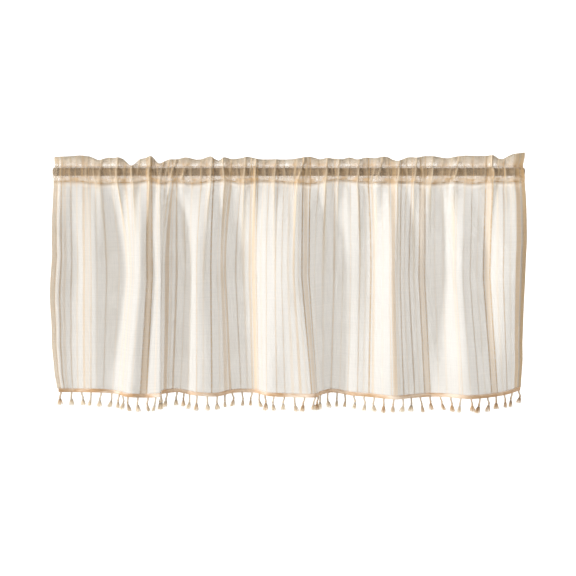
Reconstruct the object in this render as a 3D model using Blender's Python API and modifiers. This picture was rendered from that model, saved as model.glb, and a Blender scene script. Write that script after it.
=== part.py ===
"""Window valance: one width of sheer cloth gathered on a rod, with a tape of tassels along its hem."""

import math

import bmesh
import bpy
import numpy as np

# Sizes are in metres. X runs along the rod from its left end, Z is up, and the front of
# the cloth faces -Y. "Out" is a distance towards the room, which is along -Y.

ROD_LENGTH = 1.130
ROD_RADIUS = 0.0095
ROD_EDGE = 0.0004

CLOTH_THICKNESS = 0.0012
CLOTH_LEFT = 0.004          # where the gathered cloth starts and ends along the rod
CLOTH_RIGHT = 1.126
STITCH_Z = 0.0132           # row of stitches just over the rod
LAYER_SPREAD = 0.0019       # from layer to layer where the two are stitched together
FRILL_SPREAD = 0.0028       # and in the frill above, where they are loose
COLUMN_STEP = 0.014         # widest spacing of the sheet's columns along the rod
TUCK_REST = 0.0022          # how far the cloth between two tucks lies behind the rod's middle plane
FLAP = 0.0055               # turned-under cloth below the lower row of stitches

MID_Z = -0.262              # height of the table's middle level
HEM_Z = -0.535              # bottom edge of the cloth

TAPE_HEIGHT = 0.009
TAPE_THICKNESS = 0.0016
TAPE_GAP = 0.0005           # from the cloth's bottom edge to the tape
TASSELS = 56
TASSEL_MARGIN = 0.006       # from the tape's end to its first tassel
STRING_WIDTH = 0.0018
STRING_LENGTH = 0.0125
HEAD_LENGTH = 0.0040
HEAD_WIDTH = 0.0036
SKIRT_LENGTH = 0.0165
SKIRT_WIDTH = 0.0090

# One row for each fold, from left to right: its place and its distance out at the middle
# level, then at the hem, and how far the hem is pulled up there, all in millimetres.
FOLD_COLUMNS = ("mid_x", "mid_out", "hem_x", "hem_out", "rise")
FOLDS = (
    (-10, 4, -5, -14, 5),
    (37, -22, 32, -26, 2),
    (95, -8, 86, -18, 3),
    (149, -44, 130, -28, -2),
    (213, 34, 187, 26, 0),
    (236, 18, 217, 14, -3),
    (260, 34, 253, 34, 3),
    (258, -20, 252, -14, 0),
    (293, -34, 280, -30, 1),
    (349, 22, 346, 22, 3),
    (383, 8, 384, 16, 0),
    (417, -30, 430, -28, 0),
    (473, -18, 478, -24, 1),
    (517, 22, 518, 20, 2),
    (557, 42, 567, 24, 0),
    (604, 38, 629, 34, 2),
    (638, -12, 643, -12, -2),
    (680, -34, 673, -32, 0),
    (725, -8, 720, 4, 0),
    (772, -12, 767, 18, -1),
    (812, 44, 821, 44, -1),
    (852, 2, 866, 22, -2),
    (892, 4, 909, 8, -2),
    (941, -30, 946, 18, -1),
    (974, 24, 993, 42, 0),
    (1039, -12, 1059, 14, -2),
    (1082, 18, 1104, -6, 1),
    (1138, 2, 1143, -32, 6),
)

# One row for each tuck or slack place along the pocket: its place on the rod, how far it
# stands out, its half width, the height of the frill's top edge there, and the height of
# the lower row of stitches, all in millimetres.
TUCK_COLUMNS = ("x", "out", "wide", "head", "seam")
TUCKS = (
    (4, 0.0, 10, 37, -22),
    (62, 1.5, 14, 38, -22),
    (110, 4.0, 10, 28, -27),
    (154, 6.5, 9, 34, -25),
    (190, 5.0, 8, 16, -25),
    (231, 7.0, 9, 35, -21),
    (256, 5.0, 7, 25, -27),
    (284, 6.0, 9, 30, -23),
    (313, 5.0, 9, 33, -25),
    (343, 0.0, 9, 29, -27),
    (379, 7.0, 8, 37, -21),
    (393, 0.0, 6, 25, -20),
    (410, 7.0, 8, 35, -19),
    (459, 6.0, 9, 33, -26),
    (484, 5.5, 9, 29, -22),
    (532, 5.5, 9, 31, -22),
    (590, 7.0, 11, 33, -26),
    (620, 1.0, 9, 34, -27),
    (654, 8.0, 9, 29, -21),
    (684, 6.0, 8, 33, -18),
    (730, 6.0, 9, 30, -22),
    (778, 6.5, 10, 34, -25),
    (826, 7.0, 10, 24, -24),
    (866, 7.0, 9, 35, -24),
    (906, 6.0, 9, 36, -27),
    (963, 6.5, 9, 37, -23),
    (1014, 1.5, 12, 38, -27),
    (1052, 7.5, 9, 41, -22),
    (1073, 2.0, 7, 25, -23),
    (1100, 3.5, 9, 42, -23),
    (1126, 0.0, 9, 46, -22),
)

# Shares of the drop from the lower row of stitches to the hem at which the sheet has a row.
DROP_ROWS = (1.0, 0.85, 0.70, 0.57, 0.46, 0.36, 0.27, 0.19, 0.12, 0.06)

# The pocket's section round the rod, from its lower seam up: share of the seam's height,
# height above the rod's axis, distance from the rod's middle plane, and the share of a
# tuck that shows there. Millimetres.
POCKET_COLUMNS = ("seam_share", "above", "away", "tuck_share")
POCKET = (
    (0.62, 0.0, 7.6, 0.8),
    (0.0, -3.0, 11.3, 1.0),
    (0.0, 7.2, 10.0, 0.8),
)


def column(table, names, name):
    """One named column of a table, in metres."""
    return np.array([row[names.index(name)] for row in table]) / 1000


def curve_through(knots, values, at):
    """A smooth curve through the rows of a table: cubic pieces, with each row's slope taken from its neighbours."""
    slope = np.gradient(values, knots)
    row = np.clip(np.searchsorted(knots, at) - 1, 0, len(knots) - 2)
    span = knots[row + 1] - knots[row]
    t = (at - knots[row]) / span
    start = (1 + 2 * t) * (1 - t) ** 2 * values[row] + t * (1 - t) ** 2 * span * slope[row]
    end = t**2 * (3 - 2 * t) * values[row + 1] + t**2 * (t - 1) * span * slope[row + 1]
    return start + end


def fold_shares():
    """Share of the cloth's width that lies left of each fold, from the lengths of both levels' outlines."""
    shares = []
    for level in ("mid", "hem"):
        x = column(FOLDS, FOLD_COLUMNS, level + "_x")
        out = column(FOLDS, FOLD_COLUMNS, level + "_out")
        run = np.concatenate([[0], np.cumsum(np.hypot(np.diff(x), np.diff(out)))])
        shares.append(run / run[-1])
    return np.mean(shares, axis=0)


def fold_value(name, share):
    return curve_through(fold_shares(), column(FOLDS, FOLD_COLUMNS, name), share)


def tuck_value(name, x):
    return curve_through(column(TUCKS, TUCK_COLUMNS, "x"), column(TUCKS, TUCK_COLUMNS, name), x)


def ripple(x):
    """How far out the gathered cloth stands along the rod: a rounded ridge at each tuck."""
    out = np.full_like(x, -TUCK_REST)
    for place, height, wide in zip(
        column(TUCKS, TUCK_COLUMNS, "x"),
        column(TUCKS, TUCK_COLUMNS, "out"),
        column(TUCKS, TUCK_COLUMNS, "wide"),
    ):
        out += height * np.exp(-(((x - place) / wide) ** 2))
    return out


def sheet_columns():
    """Places along the rod of the sheet's columns: one on each tuck, and even steps between them."""
    places = [CLOTH_LEFT]
    for place in column(TUCKS, TUCK_COLUMNS, "x")[1:]:
        steps = math.ceil((place - places[-1]) / COLUMN_STEP - 0.01)
        places.extend(np.linspace(places[-1], place, steps + 1)[1:])
    return np.array(places)


def drop_row(top_x, share):
    """Points of the sheet at a share of the drop: from tucks at the seam to the wide folds at the hem."""
    across = (top_x - CLOTH_LEFT) / (CLOTH_RIGHT - CLOTH_LEFT)
    mid_share = (tuck_value("seam", top_x).mean() - MID_Z) / -HEM_Z
    if share < mid_share:
        opened = math.sin(math.pi / 2 * share / mid_share)
        x = top_x + (fold_value("mid_x", across) - top_x) * opened
        out = fold_value("mid_out", across) * opened
    else:
        lower = (share - mid_share) / (1 - mid_share)
        x = fold_value("mid_x", across) * (1 - lower) + fold_value("hem_x", across) * lower
        out = fold_value("mid_out", across) * (1 - lower) + fold_value("hem_out", across) * lower
    out = out + ripple(top_x) * max(0, 1 - share / 0.4) ** 2
    seam = tuck_value("seam", top_x)
    hem = HEM_Z + fold_value("rise", across)
    return np.stack([x, -out, seam + (hem - seam) * share], axis=1)


def layer_row(top_x, z, tuck_share, spread):
    """Points of one of the two facing layers; a spread below zero is the front one's, half of it on each side."""
    y = -ripple(top_x) * tuck_share
    steep = np.abs(np.diff(y) / np.diff(top_x))
    steeper = np.maximum(np.append(steep, 0), np.append(0, steep))
    return np.stack([top_x, y + spread / 2 * np.hypot(1, steeper), z + 0 * top_x], axis=1)


def pocket_rows(top_x, side):
    """Points of one side of the pocket, from the lower seam up: it passes the rod and takes in the tucks."""
    seam = tuck_value("seam", top_x)
    tuck = np.maximum(ripple(top_x), 0)
    rows = []
    for values in POCKET:
        part = dict(zip(POCKET_COLUMNS, values))
        z = seam * part["seam_share"] + part["above"] / 1000
        y = side * (part["away"] / 1000 + tuck * part["tuck_share"])
        rows.append(np.stack([top_x, y, z], axis=1))
    return rows


def panel_rows():
    """The sheet from its hem up the front, over the frill's top edge and down the back to the turned-under end."""
    top_x = sheet_columns()
    seam = tuck_value("seam", top_x)
    head = tuck_value("head", top_x)
    frill = ((STITCH_Z + head) / 2, head - FRILL_SPREAD * 0.4)
    rows = [drop_row(top_x, share) for share in DROP_ROWS]
    lowest = rows[-1]
    front_seam = layer_row(top_x, seam, 0.9, -LAYER_SPREAD)
    back_seam = layer_row(top_x, seam, 0.9, LAYER_SPREAD)
    rows.append(front_seam)
    rows += pocket_rows(top_x, -1)
    rows.append(layer_row(top_x, STITCH_Z, 0.5, -LAYER_SPREAD))
    rows += [layer_row(top_x, z, 0.9, -FRILL_SPREAD) for z in frill]
    rows.append(layer_row(top_x, head, 0.9, 0))
    rows += [layer_row(top_x, z, 0.9, FRILL_SPREAD) for z in frill[::-1]]
    rows.append(layer_row(top_x, STITCH_Z, 0.5, LAYER_SPREAD))
    rows += pocket_rows(top_x, 1)[::-1]
    rows.append(back_seam)
    down = FLAP / (seam - lowest[:, 2])
    rows.append(back_seam + (lowest - front_seam) * down[:, None])
    return rows


def material(name, colour, roughness, metallic=0.0):
    made = bpy.data.materials.new(name)
    made.use_nodes = True
    made.diffuse_color = (*colour, 1)
    surface = made.node_tree.nodes["Principled BSDF"]
    surface.inputs["Base Color"].default_value = (*colour, 1)
    surface.inputs["Roughness"].default_value = roughness
    surface.inputs["Metallic"].default_value = metallic
    return made


def new_object(bm, name, finish, parts):
    mesh = bpy.data.meshes.new(name)
    bm.to_mesh(mesh)
    bm.free()
    mesh.materials.append(finish)
    made = bpy.data.objects.new(name, mesh)
    parts.objects.link(made)
    return made


def build_rod(parts):
    """A plain round rod, its left end on the origin."""
    bm = bmesh.new()
    bmesh.ops.create_cone(
        bm,
        cap_ends=True,
        segments=32,
        radius1=ROD_RADIUS,
        radius2=ROD_RADIUS,
        depth=ROD_LENGTH,
    )
    rod = new_object(bm, "rod", material("rod metal", (0.20, 0.13, 0.08), 0.4, 0.8), parts)
    rod.location = (ROD_LENGTH / 2, 0, 0)
    rod.rotation_euler = (0, math.pi / 2, 0)
    edge = rod.modifiers.new("edge", "BEVEL")
    edge.width = ROD_EDGE
    edge.segments = 1
    rod.data.shade_smooth()
    rod.data.set_sharp_from_angle(angle=math.radians(40))
    return rod


def build_panel(parts):
    """The cloth as one thin sheet: a flat grid, each point carried to its place in the folds."""
    rows = np.array(panel_rows())
    bm = bmesh.new()
    bmesh.ops.create_grid(
        bm, x_segments=rows.shape[1] - 1, y_segments=rows.shape[0] - 1, size=0.5
    )
    for vert in bm.verts:
        across = round((vert.co.x + 0.5) * (rows.shape[1] - 1))
        along = round((vert.co.y + 0.5) * (rows.shape[0] - 1))
        vert.co = rows[along, across]
    panel = new_object(bm, "panel", material("sheer cloth", (0.85, 0.78, 0.68), 0.9), parts)
    thick = panel.modifiers.new("thickness", "SOLIDIFY")
    thick.thickness = CLOTH_THICKNESS
    thick.offset = 0
    panel.data.shade_smooth()
    return panel


class HemLine:
    """The hem's outline seen from above, which the tape follows by its own length."""

    def __init__(self):
        share = np.linspace(0, 1, 4001)
        self.x = fold_value("hem_x", share)
        self.out = fold_value("hem_out", share)
        self.rise = fold_value("rise", share)
        self.run = np.concatenate(
            [[0], np.cumsum(np.hypot(np.diff(self.x), np.diff(self.out)))]
        )
        self.length = self.run[-1]

    def point(self, run):
        """Place on the outline, at the cloth's bottom edge."""
        place = [np.interp(run, self.run, values) for values in (self.x, self.out, self.rise)]
        return np.array([place[0], -place[1], HEM_Z + place[2]])

    def across(self, run):
        """Unit direction square to the tape, level, away from the room."""
        ahead = self.point(run + 0.001) - self.point(run - 0.001)
        return np.array([-ahead[1], ahead[0], 0]) / np.hypot(ahead[0], ahead[1])


def tape_stations(hem):
    """Places along the tape of its cross-sections: both sides of each string, and one between two tassels."""
    pitch = (hem.length - 2 * TASSEL_MARGIN) / (TASSELS - 1)
    centres = TASSEL_MARGIN + pitch * np.arange(TASSELS)
    stations = [0.0005]
    for centre in centres:
        stations += [centre - STRING_WIDTH / 2, centre + STRING_WIDTH / 2]
        stations.append(centre + pitch / 2)
    stations[-1] = hem.length - 0.0005
    return stations


def draw_out(bm, face, centre, along, across, width, depth):
    """Extrude one face to a new place and give it a new width and depth. Returns the new face."""
    before = [vert.co.copy() for vert in face.verts]
    middle = np.mean([tuple(co) for co in before], axis=0)
    made = bmesh.ops.extrude_discrete_faces(bm, faces=[face])["faces"][0]
    for vert in made.verts:
        offset = np.array(vert.co) - middle
        side = math.copysign(width / 2, offset @ along)
        back = math.copysign(depth / 2, offset @ across)
        vert.co = centre + along * side + across * back
    return made


def hang_tassel(bm, face, along, across, rng):
    """String, head and four locks, drawn down from a face under the tape."""
    top = np.mean([tuple(vert.co) for vert in face.verts], axis=0)
    swing = np.array([rng.uniform(-0.0035, 0.0035), rng.uniform(-0.002, 0.002), 0])
    lean = np.array([rng.uniform(-0.0030, 0.0030), rng.uniform(-0.002, 0.002), 0])
    length = STRING_LENGTH * rng.uniform(0.85, 1.15)
    wide = SKIRT_WIDTH * rng.uniform(0.75, 1.2)
    down = np.array([0, 0, -1.0])
    knee = top + swing * 0.2 + down * length * 0.5
    tie = top + swing + down * length
    head = tie + lean * 0.1 + down * HEAD_LENGTH * 0.5
    neck = tie + lean * 0.2 + down * HEAD_LENGTH
    face = draw_out(bm, face, knee, along, across, STRING_WIDTH, STRING_WIDTH)
    face = draw_out(bm, face, tie, along, across, STRING_WIDTH, STRING_WIDTH)
    face = draw_out(bm, face, head, along, across, HEAD_WIDTH, HEAD_WIDTH)
    face = draw_out(bm, face, neck, along, across, HEAD_WIDTH * 0.8, HEAD_WIDTH * 0.8)
    split = bmesh.ops.subdivide_edges(bm, edges=face.edges[:], cuts=1, use_grid_fill=True)
    inner = [item for item in split["geom_inner"] if isinstance(item, bmesh.types.BMVert)]
    centre = min(inner, key=lambda vert: np.linalg.norm(np.array(vert.co) - neck))
    roots = list(centre.link_faces)
    for root in roots:
        place = np.mean([tuple(vert.co) for vert in root.verts], axis=0)
        offset = place - neck
        spread = along * math.copysign(wide * 0.3, offset @ along)
        spread = spread + across * math.copysign(wide * 0.27, offset @ across)
        tip = neck + spread + lean * 0.8 + down * SKIRT_LENGTH * rng.uniform(0.88, 1.08)
        draw_out(bm, root, tip, along, across, wide * 0.36, wide * 0.32)


def build_trim(parts):
    """The hem's tape and its tassels as one piece."""
    hem = HemLine()
    bm = bmesh.new()
    rings = []
    for run in tape_stations(hem):
        top = hem.point(run) - np.array([0, 0, TAPE_GAP])
        back = hem.across(run) * TAPE_THICKNESS / 2
        low = np.array([0, 0, TAPE_HEIGHT])
        corners = (top - back, top + back, top + back - low, top - back - low)
        rings.append([bm.verts.new(corner) for corner in corners])
    under = []
    for start, end in zip(rings, rings[1:]):
        for side in range(4):
            beside = (side + 1) % 4
            face = bm.faces.new((start[side], end[side], end[beside], start[beside]))
            if side == 2:
                under.append(face)
    bm.faces.new(rings[0])
    bm.faces.new(rings[-1][::-1])
    bmesh.ops.recalc_face_normals(bm, faces=bm.faces[:])
    rng = np.random.default_rng(11)
    pitch = (hem.length - 2 * TASSEL_MARGIN) / (TASSELS - 1)
    for number in range(TASSELS):
        across = hem.across(TASSEL_MARGIN + pitch * number)
        along = np.array([across[1], -across[0], 0])
        hang_tassel(bm, under[1 + 3 * number], along, across, rng)
    return new_object(
        bm, "tassel_trim", material("tape and tassels", (0.62, 0.42, 0.24), 0.85), parts
    )


def main():
    for old in list(bpy.data.objects):
        bpy.data.objects.remove(old, do_unlink=True)
    parts = bpy.data.collections.new("window_valance")
    bpy.context.scene.collection.children.link(parts)
    build_rod(parts)
    build_panel(parts)
    build_trim(parts)


main()
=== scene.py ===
import bpy
import numpy as np
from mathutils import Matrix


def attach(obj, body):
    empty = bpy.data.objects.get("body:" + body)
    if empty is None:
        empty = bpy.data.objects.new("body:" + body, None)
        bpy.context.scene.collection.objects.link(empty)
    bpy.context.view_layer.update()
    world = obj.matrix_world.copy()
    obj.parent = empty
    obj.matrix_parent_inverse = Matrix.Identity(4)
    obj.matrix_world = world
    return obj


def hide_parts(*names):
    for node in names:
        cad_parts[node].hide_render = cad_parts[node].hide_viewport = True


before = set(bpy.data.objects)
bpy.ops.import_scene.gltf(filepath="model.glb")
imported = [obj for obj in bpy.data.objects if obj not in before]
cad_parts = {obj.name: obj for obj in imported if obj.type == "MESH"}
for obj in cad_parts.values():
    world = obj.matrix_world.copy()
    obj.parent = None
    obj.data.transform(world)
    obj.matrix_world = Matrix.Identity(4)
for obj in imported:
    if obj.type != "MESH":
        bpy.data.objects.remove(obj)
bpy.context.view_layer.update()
print("frame loaded:", sorted(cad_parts))


# Colour of a paint chip in 0-255 steps, as the linear values that shaders take. With
# s = step / 255: s / 12.92 below 0.04045, and ((s + 0.055) / 1.055)^2.4 above it.
def chip(red, green, blue):
    steps = np.array([red, green, blue]) / 255
    return (*np.where(steps < 0.04045, steps / 12.92, ((steps + 0.055) / 1.055) ** 2.4), 1.0)


# A wrapped socket: a + b, 1 - a and the like add Math nodes.
class Wire:
    def __init__(self, finish, socket):
        self.finish, self.socket = finish, socket

    def maths(self, operation, *values):
        return self.finish.node("ShaderNodeMath", {"operation": operation}, dict(enumerate(values)))

    def __add__(self, other):
        return self.maths("ADD", self, other)

    def __radd__(self, other):
        return self.maths("ADD", other, self)

    def __sub__(self, other):
        return self.maths("SUBTRACT", self, other)

    def __rsub__(self, other):
        return self.maths("SUBTRACT", other, self)

    def __mul__(self, other):
        return self.maths("MULTIPLY", self, other)

    def __rmul__(self, other):
        return self.maths("MULTIPLY", other, self)

    def __pow__(self, other):
        return self.maths("POWER", self, other)

    def __abs__(self):
        return self.maths("ABSOLUTE", self)

    def wave(self, length):  # 0.5 + 0.5 cos(2 pi value / length)
        return self.maths("COSINE", self * (2 * np.pi / length)) * 0.5 + 0.5

    def atMost(self, most):
        return self.maths("MINIMUM", self, most)

    def within(self, least, most):
        return self.maths("MAXIMUM", self.atMost(most), least)


# A material's node tree. node() takes a type, its settings, then its sockets' values or links.
class Finish:
    def __init__(self, name):
        self.material = bpy.data.materials.new(name)
        self.material.use_nodes = True
        self.tree = self.material.node_tree
        self.tree.nodes.clear()

    def node(self, kind, settings=None, sockets=None, take=0):
        made = self.tree.nodes.new(kind)
        for key, value in (settings or {}).items():
            setattr(made, key, value)
        for key, value in (sockets or {}).items():
            if isinstance(value, Wire):
                self.tree.links.new(value.socket, made.inputs[key])
            else:
                made.inputs[key].default_value = value
        return Wire(self, made.outputs[take])

    # Place in the object, in metres.
    def place(self):
        return self.node("ShaderNodeTexCoord", {}, {}, "Object")

    # Place on the flat cloth or tape, in metres: as a vector, along it and up it.
    def flatPlace(self):
        uv = self.node("ShaderNodeUVMap", {"uv_map": "cloth"})
        return uv, *self.apart(uv)[:2]

    # A vector's x, y and z.
    def apart(self, vector):
        split = self.node("ShaderNodeSeparateXYZ", {}, {0: vector})
        return [Wire(self, part) for part in split.socket.node.outputs]

    def attribute(self, name):
        return self.node("ShaderNodeAttribute", {"attribute_name": name}, {}, "Fac")

    def blend(self, share, first, second):
        settings = {"data_type": "RGBA", "clamp_factor": True}
        return self.node("ShaderNodeMix", settings, {0: share, 6: first, 7: second}, 2)

    # Noise with one scale for all directions, or with a scale for each.
    def noise(self, where, scale, detail=2.0, rough=0.5):
        if isinstance(scale, tuple):
            where = self.node("ShaderNodeMapping", {}, {"Vector": where, "Scale": scale})
            scale = 1.0
        sockets = {"Vector": where, "Scale": scale, "Detail": detail, "Roughness": rough}
        return self.node("ShaderNodeTexNoise", {}, sockets, "Fac")

    # Broad patches along the rod where a seam shows brown, the same in each material that asks.
    def seamPatches(self):
        return (self.noise(self.place(), (52, 0, 0), 2.0, 0.6) * 4.2 - 1.6).within(0.06, 1)

    def bump(self, height, strength, distance):
        sockets = {"Height": height, "Strength": strength, "Distance": distance}
        return self.node("ShaderNodeBump", {}, sockets)

    def face(self, sockets):
        return self.node("ShaderNodeBsdfPrincipled", {}, sockets)

    # Yarn that passes a share of the light on in this colour, and throws the rest back as face.
    def lit(self, share, face, colour):
        through = self.node("ShaderNodeBsdfTranslucent", {}, {"Color": colour})
        return self.node("ShaderNodeMixShader", {}, {0: share, 1: face, 2: through})

    def done(self, surface):
        ending = self.tree.nodes.new("ShaderNodeOutputMaterial")
        self.tree.links.new(surface.socket, ending.inputs["Surface"])
        return self.material


# Cubic pieces through rows of numbers or of whole arrays. With t from 0 to 1 between rows a and b,
# spaced s, and slopes a', b' from the neighbours:
# (1+2t)(1-t)^2 a + t(1-t)^2 s a' + t^2(3-2t) b + t^2(t-1) s b'.
def smoothThrough(knots, values, at):
    slope = np.gradient(values, knots, axis=0)
    row = np.clip(np.searchsorted(knots, at) - 1, 0, len(knots) - 2)
    wide = (-1,) + (1,) * (np.ndim(values) - 1)
    span = (knots[row + 1] - knots[row]).reshape(wide)
    t = (at - knots[row]).reshape(wide) / span
    start = (1 + 2 * t) * (1 - t) ** 2 * values[row] + t * (1 - t) ** 2 * span * slope[row]
    end = t**2 * (3 - 2 * t) * values[row + 1] + t**2 * (t - 1) * span * slope[row + 1]
    return start + end


# Named column of a table whose sizes are in millimetres, in metres.
def column(table, name):
    place = table["columns"].index(name)
    return np.array([row[place] for row in table["rows"]]) / 1000


# Length run at each point of a line, from the lengths between its points: 0, a, a + b and so on.
def runOf(lengths):
    return np.concatenate([[0], np.cumsum(lengths)])


# Points at given runs of a line, straight from one of its points to the next.
def atRuns(at, run, line):
    return np.stack([np.interp(at, run, line[:, k]) for k in range(3)], axis=-1)


# Normals of a sheet: its slope across it crossed with its slope along it, at length 1. The cloth's
# point to the room on the drop and outwards all round the heading.
def outward(surface):
    normal = np.cross(np.gradient(surface, axis=1), np.gradient(surface, axis=0))
    return normal / np.linalg.norm(normal, axis=2, keepdims=True)


# Mesh object from arrays of points and faces. uv has a pair for each point, and each of values a
# number for each point.
def meshPiece(name, points, faces, finish, uv=None, values=None):
    mesh = bpy.data.meshes.new(name)
    mesh.from_pydata(points, [], faces)
    for key, numbers in (values or {}).items():
        mesh.attributes.new(key, "FLOAT", "POINT").data.foreach_set("value", np.ravel(numbers))
    if uv is not None:
        corners = np.empty(len(mesh.loops), np.int32)
        mesh.loops.foreach_get("vertex_index", corners)
        mesh.uv_layers.new(name="cloth").data.foreach_set("uv", uv[corners].ravel())
    mesh.materials.append(finish)
    mesh.shade_smooth()
    piece = bpy.data.objects.new(name, mesh)
    bpy.context.scene.collection.objects.link(piece)
    return piece


# Faces of a grid of points: corner (r, c) joins (r, c+1), (r+1, c+1) and (r+1, c). A closed grid
# joins its last column to its first.
def gridFaces(rows, columns, closed=False):
    r, c = np.mgrid[0 : rows - 1, 0 : columns - (not closed)]
    here, above, ahead = r * columns, (r + 1) * columns, (c + 1) % columns
    return np.stack((here + c, here + ahead, above + ahead, above + c), axis=-1).reshape(-1, 4)


# Round tubes, one for each path of points: path + radius (cos a side + sin a up), closed at both
# ends. Side is along x cross tangent, or along y cross tangent where the path runs with x.
def tubes(paths, radii, corners):
    many, steps = paths.shape[:2]
    ahead = np.gradient(paths, axis=1)
    ahead /= np.linalg.norm(ahead, axis=2, keepdims=True)
    level = np.abs(ahead[:, :1, 0:1]) > 0.7
    side = np.cross(np.where(level, (0, 1.0, 0), (1.0, 0, 0)), ahead)
    side /= np.linalg.norm(side, axis=2, keepdims=True)
    up = np.cross(ahead, side)
    angle = np.arange(corners) * 2 * np.pi / corners
    ring = np.cos(angle)[:, None] * side[:, :, None] + np.sin(angle)[:, None] * up[:, :, None]
    points = paths[:, :, None] + ring * np.broadcast_to(radii, (many, steps))[:, :, None, None]
    first = np.arange(many)[:, None] * steps * corners
    walls = (first[:, :, None] + gridFaces(steps, corners, closed=True)).reshape(-1, 4)
    ends = np.arange(corners)
    caps = np.concatenate([first + ends[::-1], first + (steps - 1) * corners + ends])
    return points.reshape(-1, 3), [*walls, *caps]


view = {
    "lens": 49.48,
    "film": 36,
    "eye": (0.563, -1.9181, -0.1288),
    "pitch": 85.5,
}
lamps = {
    # name: kind, place, aimed at, width, height, strength, colour
    "keySun": ("SUN", (-4.2, -2.2, 0.9), (0.55, 0, -0.28), 0.2, 0, 2.95, (1.0, 1.0, 0.998)),
    "fillLamp": ("AREA", (-0.9, -1.9, 0.5), (0.15, 0, -0.25), 1.4, 1.2, 7, (1.0, 0.96, 0.91)),
}
sky = {"colour": (1, 0.95, 0.89, 1), "strength": 0.17}
# A round paper bowl about the object, its sizes in metres.
bowl = {
    "middle": 0.563,
    "core": 0.4,
    "floor": -1.15,
    "reach": 6.0,
    "bend": 2.2,
    "top": 2.6,
    "corners": 96,
    "paper": chip(196, 195, 193),
    "glow": 0.80,
    "nearGlow": (0.27, 0.2592, 0.2457, 1),  # against white behind the object
}


def setCamera():
    lens = bpy.data.cameras.new("camera")
    lens.lens, lens.sensor_width = view["lens"], view["film"]
    camera = bpy.data.objects.new("camera", lens)
    camera.location = view["eye"]
    camera.rotation_euler = (np.radians(view["pitch"]), 0, 0)
    bpy.context.scene.collection.objects.link(camera)
    bpy.context.scene.camera = camera


# Turn of a lamp that shines from its place to the target: atan2(level distance, height) from
# straight down, then atan2(x, -y) round.
def aim(place, target):
    away = np.array(place) - np.array(target)
    pitch = np.arctan2(np.hypot(away[0], away[1]), away[2])
    return (pitch, 0, np.arctan2(away[0], -away[1]))


def setLight():
    for name, (kind, place, target, width, height, strength, colour) in lamps.items():
        light = bpy.data.lights.new(name, kind)
        if kind == "SUN":
            light.angle = width
        else:
            light.shape, light.size, light.size_y = "RECTANGLE", width, height
        light.energy, light.color = strength, colour
        lamp = bpy.data.objects.new(name, light)
        lamp.location, lamp.rotation_euler = place, aim(place, target)
        lamp.visible_camera = False
        bpy.context.scene.collection.objects.link(lamp)
    world = bpy.data.worlds.new("studio")
    world.use_nodes = True
    world.node_tree.nodes["Background"].inputs["Color"].default_value = sky["colour"]
    world.node_tree.nodes["Background"].inputs["Strength"].default_value = sky["strength"]
    bpy.context.scene.world = world
    bpy.context.scene.view_settings.view_transform = "Standard"


def paperFinish():
    paint = Finish("studioPaper")
    deep = paint.apart(paint.place())[1]
    sockets = {
        "Base Color": bowl["paper"],
        "Roughness": 0.9,
        # Dimmer on the room's side, so that the cloth keeps its shading.
        "Emission Color": paint.blend(deep * 0.5 + 1.0, bowl["nearGlow"], (1, 1, 1, 1)),
        "Emission Strength": bowl["glow"],
    }
    return paint.done(paint.face(sockets))


# The bowl turned round its middle: r = reach - bend + bend sin a, z = floor + bend - bend cos a,
# with a flat floor inside the bend and a wall above it.
def makeBowl(finish):
    turn = np.linspace(0, np.pi / 2, 25)
    bend, floor, corners = bowl["bend"], bowl["floor"], bowl["corners"]
    r = [[bowl["core"]], bowl["reach"] - bend + bend * np.sin(turn), [bowl["reach"]]]
    z = [[floor], floor + bend - bend * np.cos(turn), [bowl["top"]]]
    r, z = np.concatenate(r)[:, None], np.concatenate(z)[:, None]
    around = np.arange(corners) * 2 * np.pi / corners
    x, y = bowl["middle"] + r * np.cos(around), r * np.sin(around)
    points = np.stack([x, y, np.broadcast_to(z, x.shape)], axis=-1).reshape(-1, 3)
    faces = [*gridFaces(len(r), corners, closed=True)[:, ::-1], np.arange(corners)]
    piece = meshPiece("paperBowl", points, faces, finish)
    piece.visible_shadow = False  # the sun stands outside it
    return piece


setCamera()
setLight()
makeBowl(paperFinish())
print("camera and studio set")

# Heights and sizes in metres; out is towards the room, along -Y. The same tables as the solid's.
cloth = {
    "left": 0.004,
    "right": 1.126,
    "stitchLine": 0.0132,
    "layers": 0.0019,  # spread of the two layers where they are stitched
    "frill": 0.0028,  # and in the frill
    "puff": 0.0042,  # how much further the frill's layers bow apart between tucks
    "rest": 0.0022,  # how far back the cloth lies between tucks
    "flap": 0.0055,  # end turned under, below the seam behind
    "middle": -0.262,
    "hem": -0.535,
    "thickness": 0.0004,
    "width": 1.405,
    "slide": 0.8,  # how far the even gathering is slid towards the folds
    "tuckFade": 0.4,  # share of the drop over which the tucks fade
    "tuckShares": {"seam": 0.9, "stitches": 0.5, "frill": 0.9},  # of their depth that shows there
    "creaseReach": 1.8,  # how far the pinches run down the drop, against their table
    "calmReach": 0.004,  # how far from stitches they are still held flatter
    "swayReach": 0.045,  # how far in from each side the cloth sways out with it
    "sideHem": 0.0095,  # folded back at each side
    "hemGap": 0.0007,
    "softEdge": 0.0012,  # over which a stripe fades
    "columns": 110,
    "closest": 0.0003,  # columns, as a share of the width
    "dropRows": 34,
    "lowShares": (0.12, 0.06),  # of the drop, where it runs on into the heading
    # Rows of the sheet from each row of the heading to its next: seam, pocket, stitches, frill,
    # over its top and down behind.
    "headSteps": (2, 3, 3, 3, 3, 3, 3, 4, 4, 3, 2, 2, 2, 2, 2, 1),
    "topRow": 9,
    "stitchedRows": (2, 6, 12, 16),  # seam and stitches in front, then behind
}
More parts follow.
